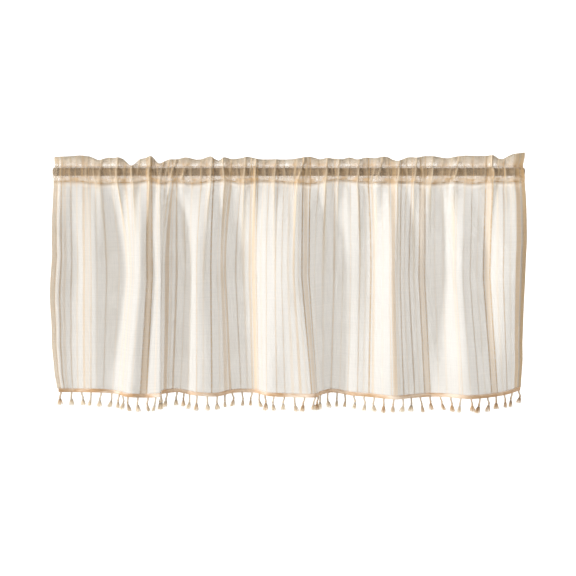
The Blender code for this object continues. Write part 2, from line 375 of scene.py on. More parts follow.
folds = {
    "columns": ("midX", "midOut", "hemX", "hemOut", "rise"),
    "rows": (
        (-10, 4, -5, -14, 5), (37, -22, 32, -26, 2), (95, -8, 86, -18, 3),
        (149, -44, 130, -28, -2), (213, 34, 187, 26, 0), (236, 18, 217, 14, -3),
        (260, 34, 253, 34, 3), (258, -20, 252, -14, 0), (293, -34, 280, -30, 1),
        (349, 22, 346, 22, 3), (383, 8, 384, 16, 0), (417, -30, 430, -28, 0),
        (473, -18, 478, -24, 1), (517, 22, 518, 20, 2), (557, 42, 567, 24, 0),
        (604, 38, 629, 34, 2), (638, -12, 643, -12, -2), (680, -34, 673, -32, 0),
        (725, -8, 720, 4, 0), (772, -12, 767, 18, -1), (812, 44, 821, 44, -1),
        (852, 2, 866, 22, -2), (892, 4, 909, 8, -2), (941, -30, 946, 18, -1),
        (974, 24, 993, 42, 0), (1039, -12, 1059, 14, -2), (1082, 18, 1104, -6, 1),
        (1138, 2, 1143, -32, 6),
    ),
}
tucks = {
    "columns": ("x", "out", "wide", "head", "seam"),
    "rows": (
        (4, 0.0, 10, 37, -22), (62, 1.5, 14, 38, -22), (110, 4.0, 10, 28, -27),
        (154, 6.5, 9, 34, -25), (190, 5.0, 8, 16, -25), (231, 7.0, 9, 35, -21),
        (256, 5.0, 7, 25, -27), (284, 6.0, 9, 30, -23), (313, 5.0, 9, 33, -25),
        (343, 0.0, 9, 29, -27), (379, 7.0, 8, 37, -21), (393, 0.0, 6, 25, -20),
        (410, 7.0, 8, 35, -19), (459, 6.0, 9, 33, -26), (484, 5.5, 9, 29, -22),
        (532, 5.5, 9, 31, -22), (590, 7.0, 11, 33, -26), (620, 1.0, 9, 34, -27),
        (654, 8.0, 9, 29, -21), (684, 6.0, 8, 33, -18), (730, 6.0, 9, 30, -22),
        (778, 6.5, 10, 34, -25), (826, 7.0, 10, 24, -24), (866, 7.0, 9, 35, -24),
        (906, 6.0, 9, 36, -27), (963, 6.5, 9, 37, -23), (1014, 1.5, 12, 38, -27),
        (1052, 7.5, 9, 41, -22), (1073, 2.0, 7, 25, -23), (1100, 3.5, 9, 42, -23),
        (1126, 0.0, 9, 46, -22),
    ),
}
pocket = {
    "columns": ("seamShare", "above", "away", "tuckShare"),  # shares are in thousandths
    "rows": ((620, 0.0, 7.6, 800), (0, -3.0, 11.3, 1000), (0, 7.2, 10.0, 800)),
}
# Pinches of the gathering, finer than the tucks: place on the rod, how far its top leans, height,
# half width, how far down the drop it fades and how far it drifts sideways on the way.
pinches = {
    "columns": ("place", "lean", "out", "wide", "fall", "drift"),
    "rows": (
        (24, 2, 0.8, 4, 60, 3), (41, -2, 0.7, 3.2, 50, -4), (80, 4, 1, 4, 90, 5),
        (99, -4, 1.2, 3, 70, -6), (113, 6, 1.8, 3.2, 150, 8), (139, -4, 1.3, 2.8, 90, -5),
        (154, 2, 3.2, 2.6, 190, 12), (170, 6, 1.2, 2.6, 70, 4), (190, -2, 3, 2.6, 160, 6),
        (203, 8, 1.3, 2.6, 80, -4), (231, 4, 3.4, 2.8, 200, -10), (244, -6, 1.4, 2.4, 70, 3),
        (259, 10, 3, 2.6, 150, 5), (272, 11, 1.8, 2.6, 90, 7), (286, 15, 3.2, 2.4, 180, -8),
        (298, 10, 1.4, 2.4, 60, -3), (313, 17, 3, 2.4, 160, 8), (331, -4, 1, 3, 60, 4),
        (356, 4, 1.1, 3.2, 80, -5), (379, 4, 3.4, 2.4, 190, -12), (409, -4, 3.4, 2.6, 200, 9),
        (424, 6, 1.3, 2.6, 70, 5), (443, -6, 1.2, 2.8, 80, -4), (459, 4, 3.2, 2.6, 170, 7),
        (472, 8, 1.5, 2.4, 70, -3), (485, 2, 3, 2.4, 160, -9), (508, -4, 1.1, 3.2, 60, 5),
        (532, 4, 3, 2.6, 180, 10), (556, -6, 1.2, 2.8, 80, -6), (578, 11, 1.6, 2.6, 90, 5),
        (591, 17, 3.4, 2.6, 200, -10), (606, 8, 1.4, 2.6, 80, 6), (636, -4, 1.2, 2.8, 70, -4),
        (655, 4, 3.6, 2.6, 190, 9), (668, -6, 1.4, 2.4, 80, 3), (684, 2, 3, 2.4, 150, -7),
        (706, 4, 1.1, 3, 70, 5), (731, 4, 3.2, 2.4, 180, 8), (752, -4, 1.2, 2.8, 80, -5),
        (767, 11, 1.6, 2.6, 80, 4), (780, 15, 3.2, 2.6, 180, -9), (803, -4, 1.1, 2.8, 70, 5),
        (827, 4, 3.2, 2.6, 160, 7), (848, -4, 1.3, 2.6, 80, -4), (867, 6, 3.4, 2.6, 200, 9),
        (886, -6, 1.3, 2.6, 70, 4), (907, 4, 3.2, 2.4, 170, -8), (932, 4, 1.1, 3.2, 70, 4),
        (950, 8, 1.5, 2.6, 80, -4), (964, 13, 3.2, 2.4, 180, 8), (988, -4, 1, 3.2, 60, -4),
        (1034, 4, 1.2, 3, 80, 5), (1053, -6, 3.4, 2.6, 170, -8), (1066, 4, 1.5, 2.4, 70, 3),
        (1082, -4, 2.2, 2.6, 130, 6), (1102, 4, 1.4, 3.2, 90, -4),
    ),
}
# Finer line of the frill's top than the tucks give: place along the rod and how much higher it is.
crown = {
    "columns": ("x", "up"),
    "rows": (
        (4, -1), (44, -1), (73, 2.5), (90, 4.5), (109, 0), (126, 3), (147, -1.5), (166, 3),
        (186, -1.5), (205, 7), (224, 0), (236, 3), (251, -5), (270, 0.5), (299, -1.7), (323, 2),
        (342, 0.5), (366, -3.7), (390, 1.5), (409, -0.3), (426, -7), (448, -2.5), (467, 4),
        (491, 2.2), (520, -0.3), (573, -2), (616, 2), (640, -0.5), (657, 4), (674, 0), (690, -3),
        (710, 3), (731, -0.2), (746, 2.4), (774, -1.2), (801, 7.2), (822, 2.4), (849, 4.3),
        (870, -1.5), (890, 1.5), (919, 0.5), (943, -3.9), (967, -0.5), (979, 1.2), (1019, -0.3),
        (1043, -4.3), (1065, 3.9), (1082, 5), (1101, 0.5), (1126, 0.7),
    ),
}
# How much wider the cloth hangs at its left and right edges, by height.
sides = {
    "columns": ("height", "left", "right"),
    "rows": (
        (-560, 0, 0), (-524, 3, 0.5), (-495, 6.5, 1.5), (-465, 7.5, 3), (-420, 9, 1.5),
        (-377, 7, 1.5), (-318, 7, 1), (-290, 6, 1), (-260, 3, 1), (-230, 0, 1), (-200, -1.5, 2),
        (-171, -0.5, 4), (-142, 0.5, 5), (-112, 2, 6), (-83, 2.5, 7), (-54, 3.5, 7.3), (-24, 5, 7),
        (0, 3, 1.5), (14, 1, 1.5), (34, 1, 4.5), (60, 1, 5),
    ),
}
# Stripes of the weave, by their place across the flat cloth, their width, and how strongly they are
# tan or brown, in thousandths.
stripes = {
    "columns": ("place", "wide", "tan", "brown"),
    "rows": (
        (2.5, 4, 350, 0), (9, 2, 600, 250), (19, 1.8, 400, 550), (27, 5, 350, 0),
        (41, 1.8, 250, 380), (55, 3, 350, 0), (72, 5, 500, 150), (81, 7, 260, 0),
        (89, 2.0, 350, 380), (104, 3, 200, 0), (123, 1.6, 150, 380), (150, 3, 220, 0),
        (174, 4, 300, 0), (196, 6, 480, 0), (214, 2, 200, 300), (238, 4, 240, 0),
        (259, 2.2, 300, 750), (266, 10, 620, 0), (273, 2.2, 300, 850), (292, 4, 260, 0),
        (318, 5, 300, 0), (345, 3, 260, 150), (366, 8, 620, 120), (375, 3, 300, 0),
        (386, 3.5, 520, 250), (412, 2, 150, 250), (438, 4, 240, 0), (465, 2.2, 250, 500),
        (482, 3, 260, 0), (501, 2.2, 250, 800), (522, 3, 260, 0), (540, 10, 480, 0),
        (552, 6, 620, 100), (581, 1.8, 200, 450), (598, 4, 300, 0), (612, 4, 450, 200),
        (622, 9, 640, 0), (631, 2.2, 350, 600), (648, 4, 260, 0), (666, 2, 260, 350),
        (692, 2.2, 260, 420), (710, 1.8, 200, 400), (727, 5, 300, 0), (742, 4, 420, 200),
        (754, 3, 260, 0), (765, 2.6, 350, 850), (775, 10, 520, 0), (786, 2.4, 350, 850),
        (812, 4, 260, 0), (838, 5, 260, 0), (865, 3.5, 420, 120), (890, 3, 220, 0),
        (912, 2, 200, 250), (936, 1.8, 200, 480), (950, 3, 240, 0), (963, 2.4, 300, 800),
        (972, 5, 450, 0), (998, 3, 200, 0), (1022, 2, 300, 300), (1034, 12, 620, 0),
        (1046, 5, 250, 0), (1059, 2.2, 300, 700), (1075, 4, 260, 0), (1091, 2.2, 250, 550),
        (1104, 3, 220, 0), (1116, 2.2, 300, 700), (1123, 8, 480, 0), (1130, 2.2, 300, 700),
        (1156, 3, 220, 0), (1180, 4, 200, 0), (1214, 4, 320, 0), (1221, 1.8, 200, 350),
        (1243, 3, 220, 0), (1266, 1.8, 200, 500), (1286, 3, 220, 0), (1305, 2.4, 300, 850),
        (1313, 9, 520, 0), (1321, 2.4, 300, 850), (1337, 4, 260, 0), (1352, 2.0, 250, 600),
        (1368, 3, 240, 0), (1385, 10, 800, 260), (1393, 3, 300, 60), (1400, 8, 850, 420),
    ),
}
# Soft waves of the hanging cloth: how many across it, their bend down it, start and size.
waves = {
    "long": ((9, 2.0, 0.4, 0.0011), (17, 1.3, 2.1, 0.0009)),
    "fine": ((31, 1.7, 4.0, 0.0013), (47, -2.2, 1.2, 0.0009), (71, 1.1, 2.9, 0.0005)),
}


# Share of the cloth's width left of each fold: mean over both levels of run / whole run.
def foldShares():
    shares = []
    for level in ("mid", "hem"):
        x, out = column(folds, level + "X"), column(folds, level + "Out")
        run = runOf(np.hypot(np.diff(x), np.diff(out)))
        shares.append(run / run[-1])
    return np.mean(shares, axis=0)


# The folds' and the tucks' tables between their rows.
def foldAt(name, across):
    return smoothThrough(foldShares(), column(folds, name), across)


def tuckAt(name, x):
    return smoothThrough(column(tucks, "x"), column(tucks, name), x)


# Ridges of the gathers along the rod: -rest + sum of out exp(-((x - place) / wide)^2).
def ridges(x):
    places = x[:, None] - column(tucks, "x")
    heights = column(tucks, "out") * np.exp(-((places / column(tucks, "wide")) ** 2))
    return heights.sum(axis=1) - cloth["rest"]


# Even gathering: left + share (right - left).
def evenly(share):
    return cloth["left"] + share * (cloth["right"] - cloth["left"])


# Place along the rod of each share of the cloth's width. Even gathering is slid most of the way
# to the mean of both levels' folds, smoothly between a few shares, so that the stripes hang nearly
# straight.
def placeOnRod(across):
    shares = np.linspace(0, 1, 15)
    slide = (foldAt("midX", shares) + foldAt("hemX", shares)) / 2 - evenly(shares)
    slide -= slide[0] * (1 - shares) + slide[-1] * shares
    return evenly(across) + cloth["slide"] * smoothThrough(shares, slide, across)


# One row of the drop at a share s of its height: from the seam, x and out open towards the middle
# level's folds as sin(pi/2 s / m), then run in a line to the hem's. Tucks fade as (1 - s/fade)^2.
def dropRow(across, x, share):
    middle = (tuckAt("seam", x).mean() - cloth["middle"]) / -cloth["hem"]
    midX, midOut = foldAt("midX", across), foldAt("midOut", across)
    if share < middle:
        opened = np.sin(np.pi / 2 * share / middle)
        place, out = x + (midX - x) * opened, midOut * opened
    else:
        lower = (share - middle) / (1 - middle)
        place = midX * (1 - lower) + foldAt("hemX", across) * lower
        out = midOut * (1 - lower) + foldAt("hemOut", across) * lower
    out = out + ridges(x) * max(0, 1 - share / cloth["tuckFade"]) ** 2
    seam, hem = tuckAt("seam", x), cloth["hem"] + foldAt("rise", across)
    return np.stack([place, -out, seam + (hem - seam) * share], axis=1)


# One row of the heading's facing layers: y = -ridges tuckShare + spread/2 hypot(1, slope).
def layerRow(x, z, level, spread):
    y = -ridges(x) * cloth["tuckShares"][level]
    return np.stack([x, y + spread / 2 * np.hypot(1, np.gradient(y, x)), z + 0 * x], axis=1)


# Rows round the rod: y = side (away + tuck tuckShare), z = seam seamShare + above.
def pocketRows(x, side):
    tuck = np.maximum(ridges(x), 0)
    rows = []
    for seamShare, above, away, tuckShare in pocket["rows"]:
        z = tuckAt("seam", x) * seamShare / 1000 + above / 1000
        rows.append(np.stack([x, side * (away / 1000 + tuck * tuckShare / 1000), z], axis=1))
    return rows


# Heading's rows in the order that the cloth runs: seam, pocket, frill, over the top and down
# behind. The frill's layers bow apart by frill + puff exp(-ridges / 2.5 mm).
def headingRows(across, x):
    seam, line, head = tuckAt("seam", x), cloth["stitchLine"], tuckAt("head", x)
    low, high = (line + head) / 2, head - cloth["frill"] * 0.4
    bow = cloth["frill"] + cloth["puff"] * np.exp(-np.maximum(ridges(x), 0) / 0.0025)
    layers = cloth["layers"]
    lowest = [dropRow(across, x, share) for share in cloth["lowShares"]]
    frontSeam, backSeam = (layerRow(x, seam, "seam", side * layers) for side in (-1, 1))
    front = [frontSeam, *pocketRows(x, -1), layerRow(x, line, "stitches", -layers)]
    front += [layerRow(x, low, "frill", -bow), layerRow(x, high, "frill", -bow * 0.7)]
    top = layerRow(x, head, "frill", 0)
    back = [layerRow(x, high, "frill", bow * 0.7), layerRow(x, low, "frill", bow)]
    back += [layerRow(x, line, "stitches", layers), *pocketRows(x, 1)[::-1], backSeam]
    down = cloth["flap"] / (seam - lowest[1][:, 2])
    flap = backSeam + (lowest[1] - frontSeam) * down[:, None]
    return np.array([*lowest, *front, top, *back, flap])


# Row of the sheet that is the heading's row of this number.
def headRow(number):
    return cloth["dropRows"] + sum(cloth["headSteps"][: number - 1]) - 1


# Places across the cloth: even steps, with more at each stripe's edges and across each pinch.
def clothColumns():
    even = np.linspace(0, 1, cloth["columns"])
    place, half = column(stripes, "place"), column(stripes, "wide") / 2
    edges = [place + way * (half + soft) for way in (-1, 1) for soft in (0, cloth["softEdge"])]
    side = np.linspace(0, cloth["sideHem"], 5)
    edges = np.concatenate([*edges, side, cloth["width"] - side]) / cloth["width"]
    fine = np.linspace(0, 1, 4001)
    lean = column(pinches, "lean")
    spread = np.array([[-2.0], [-0.7], [0.7], [2.0]]) / 1000 * (1 + np.abs(lean) / 0.012)
    onRod = (column(pinches, "place") + lean * 0.1 + spread).ravel()
    steps = np.concatenate([even, edges, np.interp(onRod, placeOnRod(fine), fine)])
    steps = np.unique(steps[(steps >= 0) & (steps <= 1)])
    return steps[np.concatenate([[True], np.diff(steps) > cloth["closest"]])]


# Sheet of the cloth as rows of points: up the drop, over the heading and down behind it.
def hang(across, x):
    shares = np.linspace(1, cloth["lowShares"][1], cloth["dropRows"])
    drop = np.array([dropRow(across, x, share) for share in shares])
    keys = headingRows(across, x)
    run = runOf(np.linalg.norm(np.diff(keys, axis=0), axis=2).mean(axis=1))
    between = zip(run[1:-1], run[2:], cloth["headSteps"])
    at = np.concatenate([np.linspace(low, high, count + 1)[1:] for low, high, count in between])
    return np.concatenate([drop, smoothThrough(run, keys, at)])


# How far the pinches stand out at each point: out exp(-((x - path) / wide)^2) fade, where a path
# leans over the pocket and drifts down the drop, and fade is 1 over the heading and
# (1 - down/fall)^2 below. Their crests are narrower: out / 3.2 exp(-((x - path) / 0.55 wide)^2)
# (1 - down/fall)^1.6, at most 1.
def pinchAt(x, height):
    total, crest = np.zeros_like(x), np.zeros_like(x)
    up = np.clip(height / 0.05, 0, 1)
    for place, lean, out, wide, fall, drift in pinches["rows"]:
        down = np.clip(-height / (fall * cloth["creaseReach"] / 1000), 0, 1)
        path = (place + lean * (up - 0.4) + drift * down) / 1000
        wide = wide / 1000 * (1 + 1.6 * down)
        total += out / 1000 * np.exp(-(((x - path) / wide) ** 2)) * (1 - down) ** 2
        crest += out / 3.2 * np.exp(-(((x - path) / wide / 0.55) ** 2)) * (1 - down) ** 1.6
    return total, np.minimum(crest, 1)


# Softness of the hanging cloth: long shallow waves that grow down to its middle,
# size sin(2 pi n a + start + 2.4 d) sin(bend pi d), and finer ones that start below the seam,
# size sin(2 pi n a + start + bend d) (1 - d)^0.8, and swell and fade across the cloth.
def slack(across, down):
    total = np.zeros_like(across + down)
    for count, bend, start, size in waves["long"]:
        along = 2 * np.pi * count * across + start
        total += size * np.sin(along + 2.4 * down) * np.sin(bend * np.pi * down)
    total *= np.sin(np.pi * np.minimum(down, 0.5))
    begin = np.clip(down / 0.06, 0, 1) * (1 - down) ** 0.8
    for count, bend, start, size in waves["fine"]:
        along = 2 * np.pi * count * across + start
        swell = 0.6 + 0.4 * np.sin(2 * np.pi * count * 0.23 * across + start * 2)
        total += size * swell * np.sin(along + bend * down) * begin
    return total


# Moves the sheet's points by its finer folds: pinches stand out to the room in front and away
# from it behind, and slack is along its normal. Then the frill's top line lifts them, and the
# sides sway out by exp(-(distance from the side / reach)^2). Gives the pinches' crests and how far
# up the frill each point is.
def gather(sheet, across, x):
    normal, line = outward(sheet), cloth["stitchLine"]
    height = sheet[:, :, 2] - tuckAt("seam", x)
    height[cloth["dropRows"] :] = np.maximum(height[cloth["dropRows"] :], 0)
    pinch, crest = pinchAt(np.broadcast_to(x, height.shape), height)
    # Along both lines of stitches the pinches are held flatter.
    calm = 1 - 0.55 * np.exp(-(((sheet[:, :, 2] - line) / cloth["calmReach"]) ** 2))
    calm = calm * (1 - 0.45 * np.exp(-((height / cloth["calmReach"]) ** 2)))
    toRoom = np.sign(np.arange(len(sheet))[:, None] - headRow(cloth["topRow"]))
    sheet[:, :, 1] += toRoom * pinch * calm
    down = np.clip(-height / 0.5, 0, 1)
    sheet += normal * slack(across[None, :], down)[:, :, None]
    z = sheet[:, :, 2]
    inFrill = np.clip((z - line) / (tuckAt("head", x) - line), 0, 1)
    sheet[:, :, 2] = z + inFrill * smoothThrough(column(crown, "x"), column(crown, "up"), x)
    for name, edge, way in (("left", 0, -1), ("right", 1, 1)):
        out = smoothThrough(column(sides, "height"), column(sides, name), z.ravel())
        near = np.exp(-(((across - edge) * cloth["width"] / cloth["swayReach"]) ** 2))
        sheet[:, :, 0] += way * out.reshape(z.shape) * near
    return crest, inFrill


# Columns of values with those of the side hems: the first and last ones again, back from each edge.
def withHems(values, count):
    left, right = values[:, count - 1 : 0 : -1], values[:, -2 : -count - 1 : -1]
    return np.concatenate([left, values[:, :1], values, values[:, -1:], right], axis=1)


# Turns the side hems behind the sheet, point - gap normal, and gives each column's share of the
# width, which is below 0 or above 1 in a hem.
def turnSides(sheet, across, count):
    behind = np.full(len(across) + 2 * count, cloth["hemGap"])
    behind[[count - 1, -count]] /= 2
    behind[count:-count] = 0
    normal = withHems(outward(sheet), count)
    edges = sheet[:, [0, -1]] + (sheet[:, [0, -1]] - sheet[:, [1, -2]]) * 0.12
    turned = withHems(sheet, count)
    turned[:, [count - 1, -count]] = edges
    left, right, bend = -across[count - 1 : 0 : -1], 2 - across[-2 : -count - 1 : -1], 0.0002
    shares = np.concatenate([left, [-bend], across, [1 + bend], right])
    return turned - normal * behind[:, None], shares


# Strength of the tan and the brown yarns in each column: 1 - the stripes' product of (1 - near
# strength), where near falls from 1 to 0 over a stripe's soft edge.
def stripeYarns(shares):
    real = np.where(shares < 0, -shares, np.where(shares > 1, 2 - shares, shares)) * cloth["width"]
    away = np.abs(real[:, None] - column(stripes, "place")) - column(stripes, "wide") / 2
    near = np.clip(1 - away / cloth["softEdge"], 0, 1)
    return [1 - np.prod(1 - near * column(stripes, name), axis=1) for name in ("tan", "brown")]


# The whole cloth: its points, their places on it when flat, and how strongly each is tan, brown,
# doubled, where shade is painted, pinched, where a highlight is painted, and in the frill.
def makeCloth(finish):
    across = clothColumns()
    x = placeOnRod(across)
    sheet = hang(across, x)
    crest, inFrill = gather(sheet, across, x)
    count = np.count_nonzero(across <= cloth["sideHem"] / cloth["width"] + 1e-9)
    sheet, shares = turnSides(sheet, across, count)
    rows, columns = sheet.shape[:2]

    # Lengths across the cloth, and up it from the front seam of the pocket.
    run = runOf(np.linalg.norm(np.diff(sheet, axis=0), axis=2).mean(axis=1))
    run -= run[headRow(cloth["stitchedRows"][0])]
    u, v = np.broadcast_arrays(shares * cloth["width"], run[:, None])
    uv = np.stack([u, v], axis=-1).reshape(-1, 2)
    # Where the doubled heading takes its warm painted shade: full on the pocket, less in the frill.
    z, seam = sheet[:, :, 2], withHems(tuckAt("seam", x)[None], count)
    rise = np.clip((z - cloth["stitchLine"]) / 0.010, 0, 1)
    tan, brown = stripeYarns(shares)
    values = {
        "tanYarn": np.broadcast_to(tan, u.shape),
        "brownYarn": np.broadcast_to(brown, u.shape),
        "heading": np.clip((z - seam + 0.001) / 0.002, 0, 1) * (1 - 0.55 * rise),
        "gathered": withHems(crest, count),
        "frill": withHems(inFrill, count),
    }
    faces = gridFaces(rows, columns)[:, ::-1]
    piece = meshPiece("sheerPanel", sheet.reshape(-1, 3), faces, finish, uv, values)
    # Its outer edges are sharp, or else the thickness's narrow faces would tilt the shading there.
    ends = np.empty(len(piece.data.edges) * 2, np.int32)
    piece.data.edges.foreach_get("vertices", ends)
    r, c = np.divmod(ends.reshape(-1, 2), columns)
    outer = (r % (rows - 1) == 0) | (c % (columns - 1) == 0)
    piece.data.edges.foreach_set("use_edge_sharp", outer.all(axis=1))
    thick = piece.modifiers.new("thickness", "SOLIDIFY")
    thick.thickness, thick.offset = cloth["thickness"], 0
    return piece, sheet, run, count


cottonLook = {
    "plain": chip(216, 219, 222),
    "slub": chip(202, 198, 190),
    "tan": chip(230, 200, 156),
    "brown": chip(198, 164, 118),
    # warm painted shade of the doubled heading
    "doubledShade": chip(230, 192, 138),
    "frillTopShade": chip(194, 183, 160),  # painted shade towards the frill's top
    # painted highlight on the pinches' crests
    "crest": chip(255, 240, 214),
    "glowThrough": chip(252, 240, 222),
    # painted light where light breaks through and on the left side hem
    "paintedLight": chip(255, 240, 216),
    # width of the painted light on the left side hem
    "litEdge": 0.016,
    "stripHigh": 0.013,  # length of cloth between the seam and the rod
    "closed": 0.58,  # share of the plain weave that yarn covers
    "through": 0.25,  # share of light passed on rather than thrown back
    "pitch": 0.0016,  # spacing of the yarns
    "seamWide": 0.0011,
}


# Sheer slub cloth: yarns that cover most of it and glow where light comes through, in the stripes'
# colours, with warm and greyer painted shade where it is doubled, and painted light and highlights.
def cottonFinish():
    look, paint = cottonLook, Finish("sheerCotton")
    uv, u, v = paint.flatPlace()
    tan, brown, heading, gathered, frill = (
        paint.attribute(name) for name in ("tanYarn", "brownYarn", "heading", "gathered", "frill")
    )
    # Slubs: thick and thin places along the yarns of both directions.
    warp = paint.noise(uv, (420, 14, 1), 3.0, 0.6)
    weft = paint.noise(uv, (9, 330, 1), 2.0, 0.6)
    cloudy = paint.noise(uv, 16.0)
    slub = warp * 0.62 + weft * 0.38
    lattice = u.wave(look["pitch"]) * v.wave(look["pitch"])
    # Brown yarns, broken along their length, and the brown seam thread along the foot of the
    # pocket, which is lost where the cloth is bunched.
    broken = (paint.noise(uv, (60, 150, 1), 2.0, 0.7) * 2.6 - 0.45).within(0.25, 1)
    onSeam = (1.7 - abs(v) * (1 / look["seamWide"])).within(0, 1)
    seamThread = onSeam * paint.seamPatches() * (1 - gathered * 0.8)
    darkLine = (brown * broken * 0.85 + seamThread).atMost(1)

    colour = paint.blend(slub, look["plain"], look["slub"])
    colour = paint.blend(tan, colour, look["tan"])
    # The doubled heading gets a warm painted shade in patches, which are fainter over the rod, and
    # a greyer painted shade towards the frill's top, where its folds overlap.
    warmth = (paint.noise(uv, (30, 24, 1), 2.0, 0.55) * 3.2 - 1.0).within(0.15, 1)
    inStrip = ((look["stripHigh"] - v) * 300).within(0, 1)
    inFrill = (frill * 7).atMost(1)
    overRod = (1 - inStrip) * (1 - inFrill) * 0.65
    warmth = warmth * (1 - overRod) + overRod * 0.5
    warm = heading * (warmth * 0.5 + 0.42 + inStrip * 0.16)
    colour = paint.blend(warm, colour, look["doubledShade"])
    colour = paint.blend(frill**1.5 * (1.15 - warmth * 0.5), colour, look["frillTopShade"])
    # Painted light above and below the rod, where light breaks through, and on the left side hem.
    strip = inStrip * heading * 0.8 * (1 - warmth)
    gaps = inFrill * (1 - frill) * (1 - warmth)
    bright = gaps + strip
    pale = ((look["litEdge"] - u) * 300).within(0, 1)
    colour = paint.blend((bright + pale * 0.6).atMost(1), colour, look["paintedLight"])
    # Painted highlight along the pinches' crests.
    colour = paint.blend(gathered * 0.85, colour, look["crest"])
    colour = paint.blend(darkLine, colour, look["brown"])
    rise = paint.bump(lattice * -0.5 + slub * 0.8, 0.35, 0.0004)
    sockets = {"Base Color": colour, "Roughness": 0.85, "Sheen Weight": 0.2, "Normal": rise}
    passed = look["through"] - tan * 0.22 - darkLine * 0.34
    yarn = paint.lit(passed, paint.face(sockets), look["glowThrough"])

    # How much of the cloth is yarn and not the gaps between.
    uneven = (slub - 0.5) * 0.35 + (cloudy - 0.5) * 0.12 - lattice * 0.12
    cover = uneven * (1 - bright * 0.7) + look["closed"] + tan * 0.16 + darkLine * 0.28
    cover = cover + gathered * 0.42 - heading * (1.4 - warmth) * 0.27 + frill * 0.10
    cover = cover + inStrip * heading * warmth * 0.14
    cover = (cover - gaps * 0.3 - strip * 0.1 - pale * 0.14).within(0.05, 0.95)
    clear = paint.node("ShaderNodeBsdfTransparent", {}, {"Color": (1, 1, 1, 1)})
    return paint.done(paint.node("ShaderNodeMixShader", {}, {0: cover, 1: clear, 2: yarn}))


panel, sheet, sheetRun, hemColumns = makeCloth(cottonFinish())
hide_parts("panel")
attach(panel, "root")
print("cloth made:", len(panel.data.polygons), "faces before its thickness")

stitching = {
    "pitch": 0.0048,
    "long": 0.0030,
    "thick": 0.00034,
    "margin": 0.004,
    "rises": (-0.8, 0.5, 0.8, 0.5, -0.8),  # along a stitch, off the cloth's face, in thicks
    "corners": 5,
    "pale": chip(242, 224, 196),
    "brown": chip(196, 158, 116),
    "deepBrown": chip(146, 106, 68),
}


# Brown and pale thread in turn along the rod, with the slant of its plies.
def threadFinish():
    paint = Finish("stitchThread")
    here = paint.place()
    fleck = paint.noise(here, 260.0)
    brown = paint.blend(fleck, stitching["brown"], stitching["deepBrown"])
    colour = paint.blend(paint.seamPatches(), stitching["pale"], brown)
    twist = {"Vector": here, "Scale": 900.0}
    ply = paint.node("ShaderNodeTexWave", {"bands_direction": "DIAGONAL"}, twist, "Fac")
    sockets = {"Base Color": colour, "Roughness": 0.6, "Normal": paint.bump(ply, 0.4, 0.0002)}
    return paint.done(paint.face(sockets))


# Stitches along the sheet's stitched rows, front and back. Each is a short arc with sunken ends:
# centre + t/2 long tangent + (thickness/2 + thick rise) outwards, for t from -1 to 1.
def makeStitches(sheet, hemColumns, finish):
    paths, normal = [], outward(sheet)
    inside = slice(hemColumns + 1, sheet.shape[1] - hemColumns - 1)
    lift = cloth["thickness"] / 2 + stitching["thick"] * np.array(stitching["rises"])
    for line in map(headRow, cloth["stitchedRows"]):
        row, out = sheet[line, inside], normal[line, inside]
        run = runOf(np.linalg.norm(np.diff(row, axis=0), axis=1))
        centres = np.arange(stitching["margin"], run[-1] - stitching["margin"], stitching["pitch"])
        at = centres[:, None] + np.linspace(-0.5, 0.5, len(lift)) * stitching["long"]
        paths.append(atRuns(at, run, row) + atRuns(at, run, out) * lift[:, None])
    points, faces = tubes(np.concatenate(paths), stitching["thick"], stitching["corners"])
    return meshPiece("pocketStitches", points, faces, finish)


stitches = makeStitches(sheet, hemColumns, threadFinish())
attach(stitches, "root")
print("stitches made:", len(stitches.data.polygons), "faces")

tape = {
    "height": 0.0086,
    "overlap": 0.0012,
    "low": 0.0005,  # how much lower it hangs than its overlap gives
    "thickness": 0.0013,
    "lean": 0.0012,  # of the part in front of the cloth, towards the room
    "inset": 0.0004,
    "steps": 900,
    "braid": 0.0021,  # spacing of its zigzags
    # pale and warm: ends of the painted light and shade in patches
    "pale": chip(255, 246, 236),
    "warm": chip(206, 166, 122),
    # painted shade in the braid's grooves
    "grooveShade": chip(206, 166, 126),
    "glowThrough": chip(255, 240, 218),
}
tassel = {
    "count": 56,
    "margin": 0.006,
    "sunk": 0.0004,  # of the string, in the tape
    "stringLong": 0.0125,
    "ply": 0.00140,
    "turns": 3.2,
    "headLong": 0.0040,
    "headWide": 0.0054,
    "skirtLong": 0.0190,
    "skirtWide": 0.0132,
    "threads": 46,
    "thread": 0.00042,
    "taper": ((0, 1), (0.3, 0.92), (0.7, 0.74), (1.0, 0.45)),  # share along a thread, its thickness
    "steps": 13,
    "corners": {"string": 5, "head": 10, "thread": 3},
    # pale to warm: tone that differs at random, and painted shade
    "pale": chip(255, 252, 246),
    "warm": chip(228, 188, 138),
    "fleck": chip(206, 164, 118),
    # painted light towards the threads' tips
    "tip": chip(255, 240, 214),
    "glowThrough": chip(255, 248, 234),
}


# The cloth's bottom edge as points, and the run to each.
def hemLine():
    share = np.linspace(0, 1, 4001)
    height = cloth["hem"] + foldAt("rise", share)
    line = np.stack([foldAt("hemX", share), -foldAt("hemOut", share), height], axis=1)
    return line, runOf(np.hypot(np.diff(line[:, 0]), np.diff(line[:, 1])))


def alongHem(at):
    line, run = hemLine()
    return atRuns(at, run, line)


# Level direction square to the hem, away from the room.
def behindHem(at):
    ahead = alongHem(at + 0.001) - alongHem(at - 0.001)
    across = np.stack([-ahead[..., 1], ahead[..., 0], 0 * ahead[..., 0]], axis=-1)
    return across / np.linalg.norm(across, axis=-1, keepdims=True)


